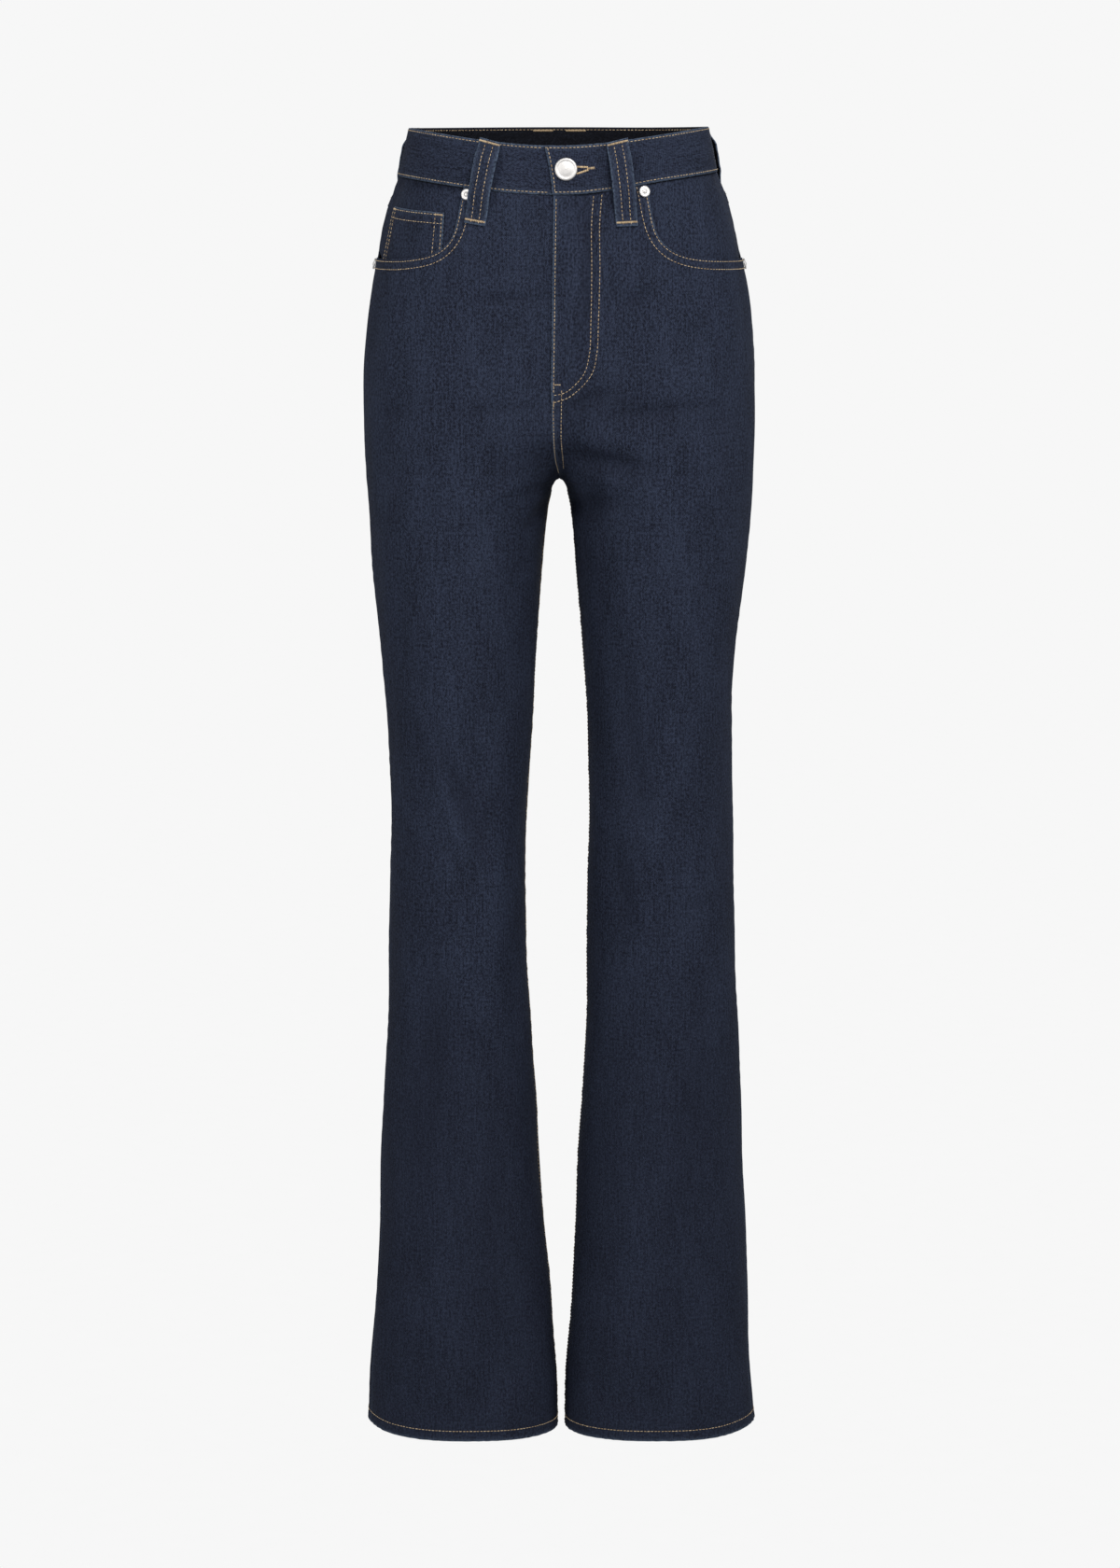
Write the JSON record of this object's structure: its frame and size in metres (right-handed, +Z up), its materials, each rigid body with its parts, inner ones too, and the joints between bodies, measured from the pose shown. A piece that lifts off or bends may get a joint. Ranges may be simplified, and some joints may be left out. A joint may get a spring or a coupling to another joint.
{
  "type": "bootcut jeans",
  "caption": "Dark indigo five-pocket bootcut jeans, filled out as worn, with a hollow waist and open flared hems, tan topstitching, a tack button and rivets.",
  "frame": {"origin": "middle of the waistband, on the body's axis, half way up the band at the sides", "axes": "+Z up, -Y the way the wearer faces, +X the wearer's left"},
  "size_m": [0.3402, 0.2326, 1.128],
  "materials": {
    "denim": "dark indigo cotton twill with a fine diagonal weave and vertical slubs",
    "zip": "dark woven tape",
    "metal": "pale silver, lightly brushed",
    "thread": "tan polyester-cotton topstitching thread"
  },
  "bodies": {
    "root": {"front_left": "denim", "front_right": "denim", "back_left": "denim", "back_right": "denim", "yoke_left": "denim", "yoke_right": "denim", "waistband": "denim", "pocket_facing_left": "denim", "pocket_facing_right": "denim", "coin_pocket": "denim", "fly_shield": "denim", "back_pocket_left": "denim", "back_pocket_right": "denim", "belt_loop_front_left": "denim", "belt_loop_front_right": "denim", "belt_loop_side_left": "denim", "belt_loop_side_right": "denim", "belt_loop_back_left": "denim", "belt_loop_back_right": "denim", "zip_fly": "zip", "button": "metal", "rivet_front_left": "metal", "rivet_front_right": "metal", "rivet_side_left": "metal", "rivet_side_right": "metal"}
  },
  "joints": []
}
